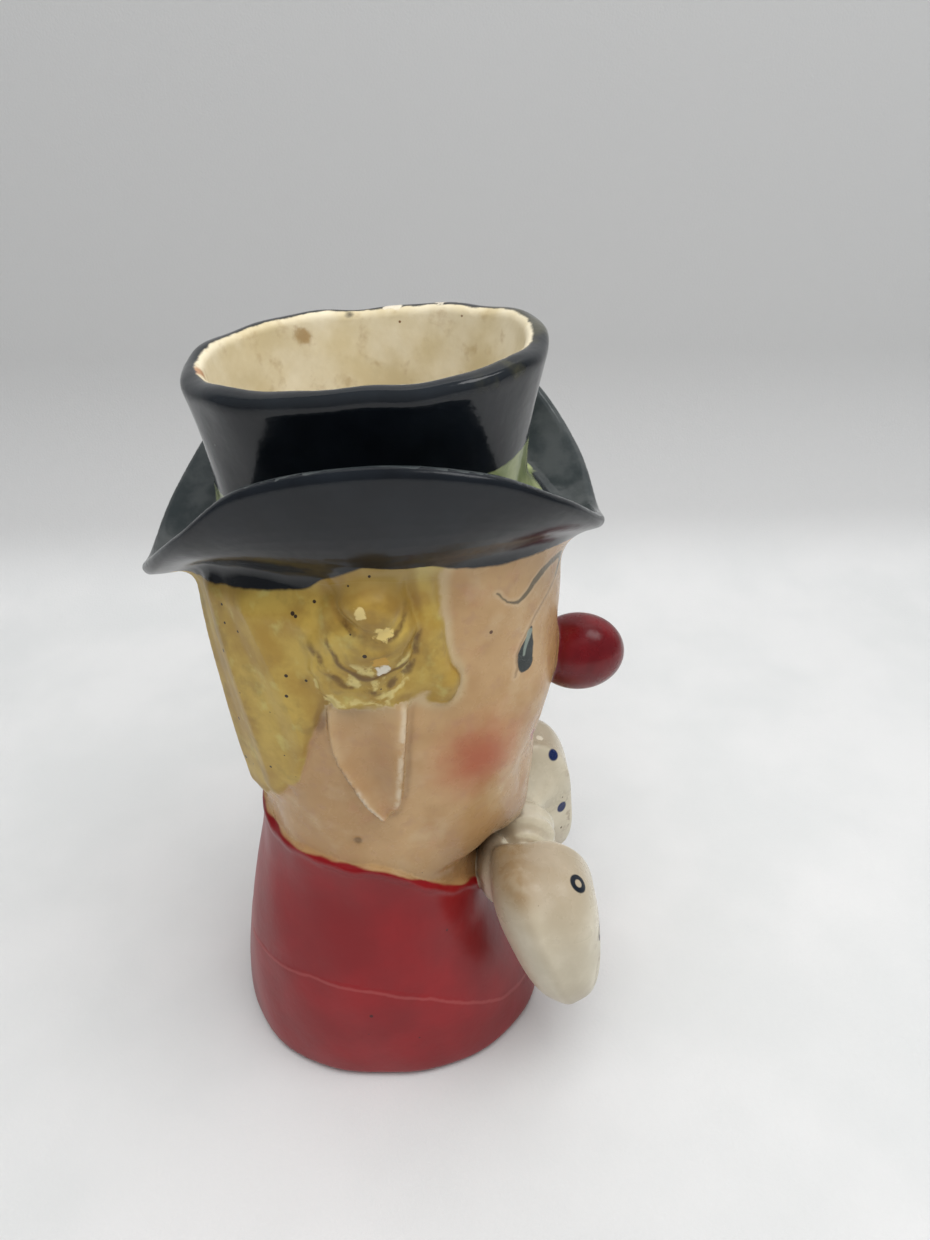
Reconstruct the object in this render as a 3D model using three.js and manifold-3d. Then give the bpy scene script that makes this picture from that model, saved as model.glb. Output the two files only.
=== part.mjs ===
// A glazed earthenware clown head vase, cast in one piece: the open hat crown is the mouth of the vase.
// Units are millimetres. +Z is up, the clown faces -Y, and the origin is the middle of the underside.

import * as THREE from "three";
import { mergeVertices } from "three/addons/utils/BufferGeometryUtils.js";
import Module from "manifold-3d";

const { lerp, degToRad, radToDeg, smoothstep } = THREE.MathUtils;
const { PI, abs, atan2, cos, hypot, sin } = Math;

// Driving dimensions
const RIM_HEIGHT = 150; // the lip above the table, on the body's axis
const HAT_TILT = degToRad(4.3); // the hat sits front end up
const TILT_ZONE = [108, 126]; // heights between which the level body turns into the tilted hat
const BODY_SQUARENESS = 2.2; // exponent of the superellipse that every level of the body follows
// The jaw rises from the chin to the ears, over these angles from the front. The front radius is read that much
// lower, between heights where this fades in and out.
const JAW = { rise: 7, hollowRise: 2.5, angles: [5, 40], foot: [30, 44], top: [58, 78] };

// The outside of the body and hat crown: height, then front, side and back radius.
const SHELL = [
  [0, 32.6, 30.5, 32.0],
  [1.4, 33.6, 31.5, 33.0],
  [10, 31.4, 31.7, 32.6],
  [20, 26.6, 30.9, 31.4],
  [30, 21.8, 29.1, 30.0],
  [38, 19.6, 27.2, 28.3],
  [43, 20.8, 26.0, 27.0],
  [47, 26.2, 25.3, 26.0],
  [52, 29.6, 25.0, 25.2],
  [60, 30.2, 25.4, 24.6],
  [70, 30.8, 26.4, 25.6],
  [80, 32.8, 27.4, 26.9],
  [90, 34.8, 28.0, 28.3],
  [100, 34.4, 28.2, 29.3],
  [110, 34.6, 28.2, 29.4],
  [118, 33.2, 27.8, 29.0],
  [124, 28.6, 24.4, 27.0],
  [130, 27.9, 23.9, 26.6],
  [138, 28.6, 24.5, 27.6],
  [145, 30.0, 25.8, 29.0],
  [148.4, 30.8, 26.6, 29.9],
  [149.6, 30.2, 26.0, 29.3],
  [RIM_HEIGHT, 29.0, 24.8, 28.1],
];

// The hollow inside, which leaves a wall of about 4 mm and opens through the hat crown.
const HOLLOW = [
  [4.5, 22.0, 21.0, 22.0],
  [7.5, 27.0, 26.2, 27.5],
  [20, 22.4, 26.3, 27.0],
  [30, 18.0, 24.6, 25.6],
  [38, 16.2, 23.1, 24.0],
  [45, 18.0, 21.6, 22.0],
  [54, 25.3, 21.0, 20.6],
  [70, 27.2, 22.5, 22.0],
  [90, 30.2, 23.8, 25.0],
  [106, 29.8, 24.0, 25.4],
  [116, 26.4, 22.2, 24.0],
  [124, 23.6, 19.8, 22.6],
  [132, 23.7, 19.8, 22.5],
  [142, 25.2, 21.2, 24.2],
  [149, 26.8, 22.5, 25.8],
  [RIM_HEIGHT + 1, 28.2, 23.9, 27.2],
  [RIM_HEIGHT + 5, 29.6, 25.3, 28.6],
];

// Lines round the head as angle from the front in degrees, then height.
const COLLAR_TOP = [[0, 30], [25, 36], [50, 46], [75, 53], [110, 56], [180, 57.5]];
const HAIR_EDGE = [[66, 99], [85, 96], [102, 95], [110, 90], [118, 78], [135, 69], [155, 62], [180, 59]];
const HAIR_FRONT = 66; // angle where the hair meets the bare temple
const HAIR_TOP = [116, 122]; // heights between which the hair runs out under the hat

// Relief that stands out of the skin
const COLLAR_THICK = 0.9;
const HAIR_THICK = 2.0;
// Ridges of combed hair: degrees apart, millimetres deep, and degrees of slant per millimetre of height.
const STRAND = { apart: 30, depth: 0.5, slant: 0.27 };
const CHEEK = { angle: 48, height: 78, spreadAngle: 19, spreadHeight: 12, rise: 1.0 };
const MUZZLE = { angle: 0, height: 64, spreadAngle: 17, spreadHeight: 10, rise: 0.7 };

// The side locks: drops of hair that overlap like shingles, then the front strand and its hooked end.
// Half sizes are side, front to back, height.
const CURLS = [
  { forward: -1.0, height: 110, side: 28, half: [4.6, 10.2, 14] },
  { forward: 0, height: 113.5, side: 29, half: [4.7, 9.4, 12] },
  { forward: 0.6, height: 117.5, side: 30, half: [4.6, 6.8, 7.5] },
  { forward: 9.3, height: 110, side: 27, half: [4.4, 3.8, 13] },
  { forward: 12.0, height: 98.8, side: 27, half: [4.6, 3.3, 4.2] },
];

// The ears: height, back edge and front edge forward of the axis, and the reach sideways of the front edge.
const EAR = [
  [98, -7.6, 5.8, 30.4],
  [92, -7.8, 5.4, 31.2],
  [86, -7.0, 4.9, 31.2],
  [80, -4.6, 4.4, 30.6],
  [75, -2.2, 3.8, 29.8],
  [71.5, 0.2, 2.6, 27.6],
];
const EAR_BACK = 29.2; // how far out the back edge reaches
const EAR_INSIDE = 22; // how far in the ear's root is buried
const EAR_EDGE = 0.6; // how much the raised front edge is rounded off
const EAR_HOLLOW = 1.0; // depth of the hollow behind it

// The hat brim: a boat shape with both sides turned up. Its outline is a superellipse seen from above.
const BRIM = {
  middle: 0.3, halfLength: 40.9, halfWidth: 34.5, frontSquare: 0.72, backSquare: 0.86, roll: 0.06,
  rootLevel: 124, rootSide: 121.5, rootFront: 119, rootBack: 116, rootShare: 0.84,
  foldSide: 122, foldDrop: 3.5, foldNear: 0.06, foldFar: 0.3, halfThick: 1.5,
};
// Height of the brim's edge by angle from the front in degrees.
const BRIM_EDGE = [[0, 120], [20, 125], [40, 134.6], [60, 141.8], [88, 144.4], [118, 140.2], [138, 129.6],
  [160, 117.4], [180, 112.4]];

const NOSE = { forward: 39.6, height: 88, half: [7.6, 9.2, 7.7] };

// The bow tie. Each loop grows from the knot to a blunt end; its top leans back and is wider than its foot.
const BOW = {
  start: 2, end: 35.5, narrow: 0.14, full: 0.44, lean: 0.24, taper: 0.24, squareness: 3,
  blunt: 0.4, endSquareness: 2.2,
  inner: { forward: 28.5, height: 36.5, tall: 5.4, thick: 5.2 },
  outer: { forward: 34, height: 34.8, tall: 17, thick: 9.8 },
};
const KNOT = { forward: 29.5, height: 38.5, half: [6.4, 7.8, 8.8] };
const BOW_BACK = { side: 12.5, forward: 23, height: 41.5, half: [8, 4, 6.5] };

// Mesh density
const BODY_SIDES = 48;
const BODY_STEP = 4.6;
const HOLLOW_SIDES = 24;
const HOLLOW_STEP = 12;
const BRIM_SIDES = 48;
const BRIM_SHARES = [0, 0.36, 0.7, 1]; // where the brim's bent section has points, from root to edge
const BOW_SIDES = 18;
// Where a bow loop is sliced, from the knot to its end.
const BOW_SHARES = [0, 0.16, 0.26, 0.35, 0.45, 0.6, 0.72, 0.82, 0.9, 0.96, 0.99, 0.9995];
const WELD = 0.02; // vertices that the joins leave closer than this become one

// A smooth curve through the rows of a table, read at x. Column 0 is x and column k is the value.
function along(rows, x, k = 1) {
  const last = rows.length - 1;
  if (x <= rows[0][0]) return rows[0][k];
  if (x >= rows[last][0]) return rows[last][k];
  let i = 0;
  while (x > rows[i + 1][0]) i++;
  const slope = (j) => {
    if (j === 0 || j === last) return 0;
    return (rows[j + 1][k] - rows[j - 1][k]) / (rows[j + 1][0] - rows[j - 1][0]);
  };
  const span = rows[i + 1][0] - rows[i][0];
  const t = (x - rows[i][0]) / span;
  const t2 = t * t;
  const t3 = t2 * t;
  return rows[i][k] * (2 * t3 - 3 * t2 + 1) + rows[i + 1][k] * (3 * t2 - 2 * t3)
    + span * (slope(i) * (t3 - 2 * t2 + t) + slope(i + 1) * (t3 - t2));
}

// A soft hill at a spot's angle and height, as high as its rise.
function bump(side, height, spot) {
  const x = (side - spot.angle) / spot.spreadAngle;
  const y = (height - spot.height) / spot.spreadHeight;
  return spot.rise * Math.exp(-(x * x + y * y));
}

// Radius of a level of a table at an angle from the front, where the jaw rises so far to the side.
function levelRadius(rows, angle, height, jawRise = JAW.rise) {
  const c = cos(angle);
  const rise = jawRise * smoothstep(abs(radToDeg(angle)), ...JAW.angles)
    * smoothstep(height, ...JAW.foot) * (1 - smoothstep(height, ...JAW.top));
  const lengthways = c > 0 ? along(rows, height - rise, 1) : along(rows, height, 3);
  const n = BODY_SQUARENESS;
  return (abs(c / lengthways) ** n + abs(sin(angle) / along(rows, height, 2)) ** n) ** (-1 / n);
}

// Everything that stands out of the plain body, as millimetres of radius.
function relief(angle, height) {
  const side = abs(radToDeg(angle));
  const collarTop = along(COLLAR_TOP, side);
  const collar = COLLAR_THICK * smoothstep(collarTop - height, -0.6, 0.6);
  const hairline = along(HAIR_EDGE, side);
  const underHat = 1 - smoothstep(height, ...HAIR_TOP);
  const combed = side + STRAND.slant * (CURLS[0].height - height);
  const strands = STRAND.depth * cos((2 * PI * combed) / STRAND.apart);
  const hair = (HAIR_THICK + strands) * smoothstep(side, HAIR_FRONT - 5, HAIR_FRONT + 3)
    * smoothstep(height, hairline - 1, hairline + 4) * underHat;
  return collar + hair + bump(side, height, CHEEK) + bump(side, height, MUZZLE);
}

// How far a point at a height and a distance forward is lifted by the hat's tilt.
const lift = (height, forward) =>
  forward * Math.tan(HAT_TILT) * smoothstep(height, ...TILT_ZONE);

// Manifold solid from rings of points. Each ring joins the next, and the ends close on their middles or,
// when looped, on each other.
function solidFromRings(rings, looped = false) {
  const sides = rings[0].length;
  const points = rings.flat();
  const faces = [];
  const at = (i, j) => (i % rings.length) * sides + (j % sides);
  const bands = looped ? rings.length : rings.length - 1;
  for (let i = 0; i < bands; i++) {
    for (let j = 0; j < sides; j++) {
      faces.push(at(i, j), at(i, j + 1), at(i + 1, j + 1), at(i, j), at(i + 1, j + 1), at(i + 1, j));
    }
  }
  if (!looped) {
    for (const [ring, flip] of [[0, false], [rings.length - 1, true]]) {
      const middle = new THREE.Vector3();
      rings[ring].forEach((p) => middle.addScaledVector(p, 1 / sides));
      const m = points.push(middle) - 1;
      for (let j = 0; j < sides; j++) {
        if (flip) faces.push(m, at(ring, j), at(ring, j + 1));
        else faces.push(m, at(ring, j + 1), at(ring, j));
      }
    }
  }
  const geometry = new THREE.BufferGeometry().setFromPoints(points).setIndex(faces);
  return solidOf(geometry);
}

const wasm = await Module();
wasm.setup();

// Manifold solid from a closed three.js geometry. Vertices that lie closer than a tolerance become one.
function solidOf(geometry, tolerance = 1e-4) {
  const plain = geometry.clone();
  plain.deleteAttribute("normal");
  plain.deleteAttribute("uv");
  const merged = mergeVertices(plain, tolerance);
  const corners = merged.index.array;
  const faces = [];
  for (let i = 0; i < corners.length; i += 3) {
    const [a, b, c] = corners.slice(i, i + 3);
    if (a !== b && b !== c && c !== a) faces.push(a, b, c);
  }
  return new wasm.Manifold(new wasm.Mesh({
    numProp: 3,
    vertProperties: merged.attributes.position.array,
    triVerts: new Uint32Array(faces),
  }));
}

// The heights of a table cut into even steps, with its own rows kept where they are close together.
function levels(rows, step) {
  const heights = [rows[0][0]];
  for (let i = 1; i < rows.length; i++) {
    const count = Math.max(1, Math.round((rows[i][0] - rows[i - 1][0]) / step));
    for (let k = 1; k <= count; k++) heights.push(lerp(rows[i - 1][0], rows[i][0], k / count));
  }
  return heights;
}

// A level ring at a height, with or without the relief, lifted by the hat's tilt.
function levelRing(rows, height, sides, carved) {
  return Array.from({ length: sides }, (_, j) => {
    const angle = (2 * PI * j) / sides - PI;
    const radius = carved
      ? levelRadius(rows, angle, height) + relief(angle, height)
      : levelRadius(rows, angle, height, JAW.hollowRise);
    const forward = radius * cos(angle);
    return new THREE.Vector3(radius * sin(angle), -forward, height + lift(height, forward));
  });
}

function bodySolid() {
  return solidFromRings(levels(SHELL, BODY_STEP).map((z) => levelRing(SHELL, z, BODY_SIDES, true)));
}

function hollowSolid() {
  return solidFromRings(levels(HOLLOW, HOLLOW_STEP).map((z) => levelRing(HOLLOW, z, HOLLOW_SIDES, false)));
}

// The brim's edge and the bend where it leaves the hat, at a turn round the hat: forward, sideways, height.
function brimEdge(turn) {
  const c = cos(turn);
  const s = abs(sin(turn));
  const forward = BRIM.middle + BRIM.halfLength * c;
  const square = c > 0 ? BRIM.frontSquare : BRIM.backSquare;
  const sideways = BRIM.halfWidth * Math.sign(sin(turn)) * s ** square;
  const height = along(BRIM_EDGE, abs(radToDeg(atan2(sideways, forward)))) + BRIM.roll * sideways;
  return {
    forward, sideways, height,
    root: lerp(c > 0 ? BRIM.rootFront : BRIM.rootBack, BRIM.rootSide, s),
    fold: lerp(height - BRIM.foldDrop, BRIM.foldSide, s),
  };
}

// One closed cross-section of the brim: down its underside, round the edge and back along its top.
function brimSection(turn) {
  const edge = brimEdge(turn);
  const angle = atan2(edge.sideways, edge.forward);
  const reach = hypot(edge.forward, edge.sideways);
  const root = new THREE.Vector2(levelRadius(SHELL, angle, BRIM.rootLevel) * BRIM.rootShare, edge.root);
  const inward = BRIM.foldNear + BRIM.foldFar * cos(turn) ** 2;
  const fold = new THREE.Vector2(lerp(reach, root.x, inward), edge.fold);
  const tip = new THREE.Vector2(reach, edge.height);
  const end = tip.clone().add(fold.clone().sub(tip).setLength(BRIM.halfThick));
  const path = new THREE.QuadraticBezierCurve(root, fold, end);
  const below = [];
  const above = [];
  for (const t of BRIM_SHARES) {
    const p = path.getPoint(t);
    const d = path.getTangent(t).multiplyScalar(BRIM.halfThick);
    below.push([p.x + d.y, p.y - d.x]);
    above.unshift([p.x - d.y, p.y + d.x]);
  }
  const section = [...below, [tip.x, tip.y], ...above].reverse();
  return section.map(([r, z]) => new THREE.Vector3(r * sin(angle), -r * cos(angle), z));
}

function brimSolid() {
  const rings = [];
  for (let i = 0; i < BRIM_SIDES; i++) rings.push(brimSection((2 * PI * i) / BRIM_SIDES));
  return solidFromRings(rings, true);
}

// A ball stretched to half sizes [side, front to back, height], its middle forward of the axis.
function ballSolid({ side = 0, forward, height, half }, columns, rows) {
  const ball = new THREE.SphereGeometry(1, columns, rows).rotateX(PI / 2);
  return solidOf(ball.scale(...half).translate(side, -forward, height));
}

// Both side locks.
function curlSolids() {
  return [-1, 1].flatMap((sign) =>
    CURLS.map((lock) => ballSolid({ ...lock, side: sign * lock.side }, 12, 8)));
}

// One ear: level sections with a raised front edge, a hollow behind it and a lower back edge.
function earSolid(sign) {
  return solidFromRings([...EAR].reverse().map(([height, back, front, out]) => {
    const section = [
      [back, EAR_INSIDE], [front, EAR_INSIDE], [front, out - EAR_EDGE], [front - EAR_EDGE, out],
      [front - 3 * EAR_EDGE, out - EAR_EDGE], [lerp(back, front, 0.45), (out + EAR_BACK) / 2 - EAR_HOLLOW],
      [back, EAR_BACK],
    ];
    if (sign < 0) section.reverse();
    return section.map(([forward, side]) => new THREE.Vector3(sign * side, -forward, height));
  }));
}

// A slice across one bow loop at a share of its length, with the blunt outer end rounded off.
function bowSlice(share, sign) {
  const grow = smoothstep(share, BOW.narrow, BOW.full);
  const past = Math.max(0, (share - 1 + BOW.blunt) / BOW.blunt);
  const round = (1 - past ** BOW.endSquareness) ** (1 / BOW.endSquareness);
  const at = (key) => lerp(BOW.inner[key], BOW.outer[key], grow);
  const power = 2 / BOW.squareness;
  return Array.from({ length: BOW_SIDES }, (_, j) => {
    const a = (-sign * 2 * PI * j) / BOW_SIDES;
    const top = Math.sign(sin(a)) * abs(sin(a)) ** power;
    const up = at("tall") * round * top;
    const out = at("thick") * round * (1 + BOW.taper * top) * Math.sign(cos(a)) * abs(cos(a)) ** power;
    const forward = at("forward") + out - up * BOW.lean;
    return new THREE.Vector3(sign * lerp(BOW.start, BOW.end, share), -forward, at("height") + up);
  });
}

function bowSolids() {
  return [-1, 1].flatMap((sign) => [
    solidFromRings(BOW_SHARES.map((share) => bowSlice(share, sign))),
    ballSolid({ ...BOW_BACK, side: sign * BOW_BACK.side }, 10, 6),
  ]);
}

function geometryOf(solid) {
  const { numProp, numVert, vertProperties, triVerts } = solid.getMesh();
  const positions = new Float32Array(numVert * 3);
  for (let i = 0; i < numVert; i++) {
    positions.set(vertProperties.subarray(i * numProp, i * numProp + 3), i * 3);
  }
  return new THREE.BufferGeometry()
    .setAttribute("position", new THREE.BufferAttribute(positions, 3))
    .setIndex(new THREE.BufferAttribute(new Uint32Array(triVerts), 1));
}

function meshOf(solid, name, material) {
  const geometry = geometryOf(solid);
  geometry.computeVertexNormals();
  const mesh = new THREE.Mesh(geometry, material);
  mesh.name = name;
  return mesh;
}

const glaze = new THREE.MeshStandardMaterial({ color: 0xd9b48f, roughness: 0.2, metalness: 0 });

const solids = [
  bodySolid(), brimSolid(), ballSolid(NOSE, 16, 10), ballSolid(KNOT, 14, 10),
  ...bowSolids(), ...curlSolids(), earSolid(-1), earSolid(1),
];
const vaseSolid = solids.reduce((sum, solid) => sum.add(solid)).subtract(hollowSolid());

const vase = new THREE.Group();
vase.add(meshOf(solidOf(geometryOf(vaseSolid), WELD), "head_vase", glaze));

export default vase;
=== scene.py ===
# A glazed clown head vase: hat, hair, face, collar and bow tie are one casting, so they are one mesh here.
# The shape is a signed distance in millimetres, worked out from the same sizes as the solid, and turned into
# a mesh.
import math

import bpy
import numpy as np
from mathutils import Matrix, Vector


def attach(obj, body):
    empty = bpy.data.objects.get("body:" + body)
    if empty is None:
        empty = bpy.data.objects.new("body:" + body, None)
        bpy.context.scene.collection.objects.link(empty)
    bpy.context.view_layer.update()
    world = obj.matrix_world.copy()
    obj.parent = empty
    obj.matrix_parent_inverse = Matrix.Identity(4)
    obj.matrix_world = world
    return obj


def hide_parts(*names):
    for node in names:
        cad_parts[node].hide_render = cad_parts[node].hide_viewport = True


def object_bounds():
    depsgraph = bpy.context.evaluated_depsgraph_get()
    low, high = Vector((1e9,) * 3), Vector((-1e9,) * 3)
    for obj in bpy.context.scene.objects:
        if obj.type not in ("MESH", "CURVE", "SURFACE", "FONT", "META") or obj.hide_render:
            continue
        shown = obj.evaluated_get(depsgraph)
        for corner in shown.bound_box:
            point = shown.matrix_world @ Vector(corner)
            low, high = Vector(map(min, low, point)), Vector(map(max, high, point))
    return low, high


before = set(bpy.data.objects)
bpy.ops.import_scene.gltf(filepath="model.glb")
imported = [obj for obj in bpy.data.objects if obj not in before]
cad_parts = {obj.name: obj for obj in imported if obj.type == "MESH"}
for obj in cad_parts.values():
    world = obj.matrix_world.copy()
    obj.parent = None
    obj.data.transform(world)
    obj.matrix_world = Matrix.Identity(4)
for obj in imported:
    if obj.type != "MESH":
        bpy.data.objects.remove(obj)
cad_low, cad_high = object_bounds()

# Driving sizes in millimetres, as in the solid. "Forward" is towards -Y, and angles are degrees from
# the front.
RIM_HEIGHT = 150
HAT_TILT = math.tan(math.radians(4.3))
TILT_ZONE = (108, 126)
BODY_SQUARENESS = 2.2
JAW_RISE, JAW_HOLLOW_RISE, JAW_ANGLES, JAW_FOOT, JAW_TOP = 7, 2.5, (5, 40), (30, 44), (58, 78)
SHELL = np.array([  # height, then front, side and back radius
    [0, 32.6, 30.5, 32.0], [1.4, 33.6, 31.5, 33.0], [10, 31.4, 31.7, 32.6], [20, 26.6, 30.9, 31.4],
    [30, 21.8, 29.1, 30.0], [38, 19.6, 27.2, 28.3], [43, 20.8, 26.0, 27.0], [47, 26.2, 25.3, 26.0],
    [52, 29.6, 25.0, 25.2], [60, 30.2, 25.4, 24.6], [70, 30.8, 26.4, 25.6], [80, 32.8, 27.4, 26.9],
    [90, 34.8, 28.0, 28.3], [100, 34.4, 28.2, 29.3], [110, 34.6, 28.2, 29.4], [118, 33.2, 27.8, 29.0],
    [124, 28.6, 24.4, 27.0], [130, 27.9, 23.9, 26.6], [138, 28.6, 24.5, 27.6], [145, 30.0, 25.8, 29.0],
    [150, 31.3, 27.1, 30.4], [156, 32.6, 28.4, 31.8],
])
HOLLOW = np.array([  # likewise for the inside
    [0, 27.0, 26.2, 27.5], [7.5, 27.0, 26.2, 27.5], [20, 22.4, 26.3, 27.0], [30, 18.0, 24.6, 25.6],
    [38, 16.2, 23.1, 24.0], [45, 18.0, 21.6, 22.0], [54, 25.3, 21.0, 20.6], [70, 27.2, 22.5, 22.0],
    [90, 30.2, 23.8, 25.0], [106, 29.8, 24.0, 25.4], [116, 26.4, 22.2, 24.0], [124, 23.6, 19.8, 22.6],
    [132, 23.7, 19.8, 22.5], [142, 25.2, 21.2, 24.2], [149, 26.8, 22.5, 25.8], [160, 28.6, 24.3, 27.6],
])
FLOOR_HEIGHT = 4.5
LIP_ROUND, FOOT_ROUND, FLOOR_ROUND = 3.2, 2.4, 5.0

# Lines round the figure: angle from the front, then height.
COLLAR_TOP = np.array([[0, 30], [25, 37], [38, 41], [54, 44.5], [75, 51.6], [91, 55.2], [115, 57.4],
                       [140, 57.2], [180, 57.5]])
SHOULDER_LINE = np.array([[0, 4], [44, 12], [75, 22.9], [97, 26.4], [121, 27.2], [140, 25.5], [180, 23.5]])
HAIR_EDGE = np.array([[66, 99], [85, 96], [98, 97], [105, 95.5], [112, 88.5], [117, 80.5], [121, 76.9],
                      [133, 71], [150, 66], [180, 62]])
HAT_LINE = np.array([[0, 117], [29, 119.6], [45, 120.4], [55, 121.1], [64, 122.2], [75, 124.8], [83, 126.0],
                     [91, 124.7], [100, 122.2], [109, 119.2], [120, 117.8], [135, 116.3], [155, 114.2],
                     [180, 112.5]])
BAND_TOP = np.array([[0, 134.0], [30, 133.0], [60, 132.0], [110, 131.5], [150, 131.0], [180, 130.5]])
HAIR_FRONT = 66

# Relief that stands out of the skin.
COLLAR_THICK, COLLAR_ROLL, HAIR_THICK, SHOULDER_RISE = 0.9, 0.35, 2.0, 0.15
STRAND_APART, STRAND_DEPTH, STRAND_SLANT = 17.0, 0.34, 0.27
CHEEK = (48, 78, 19, 12, 1.0)  # angle, height, spreads of both, rise
MUZZLE = (0, 64, 17, 10, 0.7)
# Nested drops of hair, each over the one below: forward, height, half width, half height, reach sideways.
DROPS = [(-1.6, 109.5, 8.8, 13.5, 31.9), (-0.8, 111.5, 7.9, 9.0, 32.8), (1.2, 113.5, 7.1, 7.8, 33.8),
         (0.9, 118.0, 5.0, 4.5, 34.6)]
DROP_ROOT, DROP_SQUARENESS, DROP_WAVE, DROP_TOP = 24.0, 3.6, 2.1, 0.75
# Forward, height, side and radius along the front strand, which ends in a hook.
HOOK = [(8.2, 118, 27.6, 1.7), (10.0, 112, 28.3, 1.8), (10.8, 105, 28.2, 1.8), (12.2, 101.0, 27.6, 2.4),
        (11.6, 98.9, 27.2, 2.3), (10.2, 98.6, 27.0, 1.5)]
EAR = np.array([  # height, back edge and front edge forward of the axis, reach of the front edge
    [71.5, 0.2, 2.6, 27.6], [75, -2.2, 3.8, 29.8], [80, -4.6, 4.4, 30.6], [86, -7.0, 4.9, 31.2],
    [92, -7.8, 5.4, 31.2], [98, -7.6, 5.8, 30.4],
])
EAR_BACK, EAR_HOLLOW, EAR_RIDGE = 29.9, 1.5, 0.7
DIMPLE = (100.4, 62.9, 1.2, 0.7)  # angle, height, radius, depth

# The hat brim, a boat shape with both sides turned up.
BRIM_MIDDLE, BRIM_LENGTH, BRIM_WIDTH = 0.3, 40.9, 34.5
BRIM_FRONT_SQUARE, BRIM_BACK_SQUARE, BRIM_ROLL, BRIM_HALF_THICK = 0.72, 0.86, 0.06, 1.5
BRIM_ROOT_SIDE, BRIM_ROOT_FRONT, BRIM_ROOT_BACK, BRIM_ROOT_SHARE = 121.5, 119, 116, 0.84
BRIM_FOLD_SIDE, BRIM_FOLD_DROP = 122, 3.5
BRIM_EDGE = np.array([[0, 120], [20, 125], [40, 134.6], [60, 141.8], [88, 144.4], [118, 140.2],
                      [138, 129.6], [160, 117.4], [180, 112.4]])

NOSE = (39.6, 88, 0, (7.6, 9.2, 7.7))  # forward, height, side, half sizes
KNOT = (29.5, 38.5, 0, (6.4, 7.8, 8.8))
BOW_BACK = (23.0, 41.5, 12.5, (8, 4, 6.5))
BOW_START, BOW_END, BOW_NARROW, BOW_FULL, BOW_BLUNT = 2, 35.5, 0.14, 0.44, 0.4
BOW_LEAN, BOW_TAPER, BOW_SQUARENESS, BOW_END_SQUARENESS = 0.24, 0.24, 3, 2.2
BOW_INNER = (28.5, 36.5, 5.4, 5.2)  # forward, height, half height, half thickness at the knot
BOW_OUTER = (34, 34.8, 17, 9.8)

# How round the glaze is where two forms meet, and how far the probes reach that find hollows for painted
# shade and edges for painted highlights and wear.
EAR_FILLET, LOCK_FILLET, NOSE_FILLET, KNOT_FILLET, LIP_FILLET = 1.2, 0.8, 1.2, 1.6, 1.6
TROUGH_FILLET, BRIM_FILLET, BRIM_FILLET_BACK, BRIM_FILLET_TURNS = 2.4, 8.0, 4.5, (95, 130)
HOLLOW_PROBE, EDGE_PROBE = 2.2, 1.2

GRID_STEP = 0.64
MOST_TRIANGLES = 196_000
MM = 0.001


def along(rows, x, k=1):
    """A smooth curve through the rows of a table, read at x. Column 0 is x and column k is the value."""
    u, v = rows[:, 0], rows[:, k]
    slope = np.zeros(len(u))
    slope[1:-1] = (v[2:] - v[:-2]) / (u[2:] - u[:-2])
    x = np.clip(x, u[0], u[-1])
    i = np.clip(np.searchsorted(u, x, side="right") - 1, 0, len(u) - 2)
    span = u[i + 1] - u[i]
    t = (x - u[i]) / span
    t2, t3 = t * t, t * t * t
    ends = v[i] * (2 * t3 - 3 * t2 + 1) + v[i + 1] * (3 * t2 - 2 * t3)
    return ends + span * (slope[i] * (t3 - 2 * t2 + t) + slope[i + 1] * (t3 - t2))


def smoothstep(x, low, high):
    t = np.clip((x - low) / (high - low), 0, 1)
    return t * t * (3 - 2 * t)


def bump(x, y, spot):
    """A soft hill at the spot's place, as high as its rise."""
    return spot[4] * np.exp(-(((x - spot[0]) / spot[2]) ** 2) - ((y - spot[1]) / spot[3]) ** 2)


def join(a, b, fillet):
    """The union of two distances, with a fillet of glaze in the corner between them."""
    h = np.maximum(fillet - np.abs(a - b), 0) / fillet
    return np.minimum(a, b) - h * h * fillet / 4


def meet(a, b, rounding):
    """The part that two distances share, with its edge rounded."""
    return -join(-a, -b, rounding)


def level_radius(rows, angle, height, jaw_rise=JAW_RISE):
    c, s = np.cos(angle), np.abs(np.sin(angle))
    rise = jaw_rise * smoothstep(np.degrees(np.abs(angle)), *JAW_ANGLES)
    rise = rise * smoothstep(height, *JAW_FOOT) * (1 - smoothstep(height, *JAW_TOP))
    lengthways = np.where(c > 0, along(rows, height - rise, 1), along(rows, height, 3))
    n = BODY_SQUARENESS
    return ((np.abs(c) / lengthways) ** n + (s / along(rows, height, 2)) ** n) ** (-1 / n)


def level_of(z, forward):
    """The level of the untilted body that holds a point at height z, so far forward."""
    level = z
    for _ in range(3):
        level = z - forward * HAT_TILT * smoothstep(level, *TILT_ZONE)
    return level


def hair_mask(turn, height):
    """How far inside the hair a place on the head is, in millimetres. turn is degrees from the front."""
    beside = (turn - HAIR_FRONT) * 0.5
    drips = 1.3 * np.abs(np.cos(np.radians((turn - 120) * 14))) * smoothstep(turn, 116, 124)
    return np.minimum(beside, (height + drips - 0.6 - along(HAIR_EDGE, turn)) * 0.8)


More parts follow.
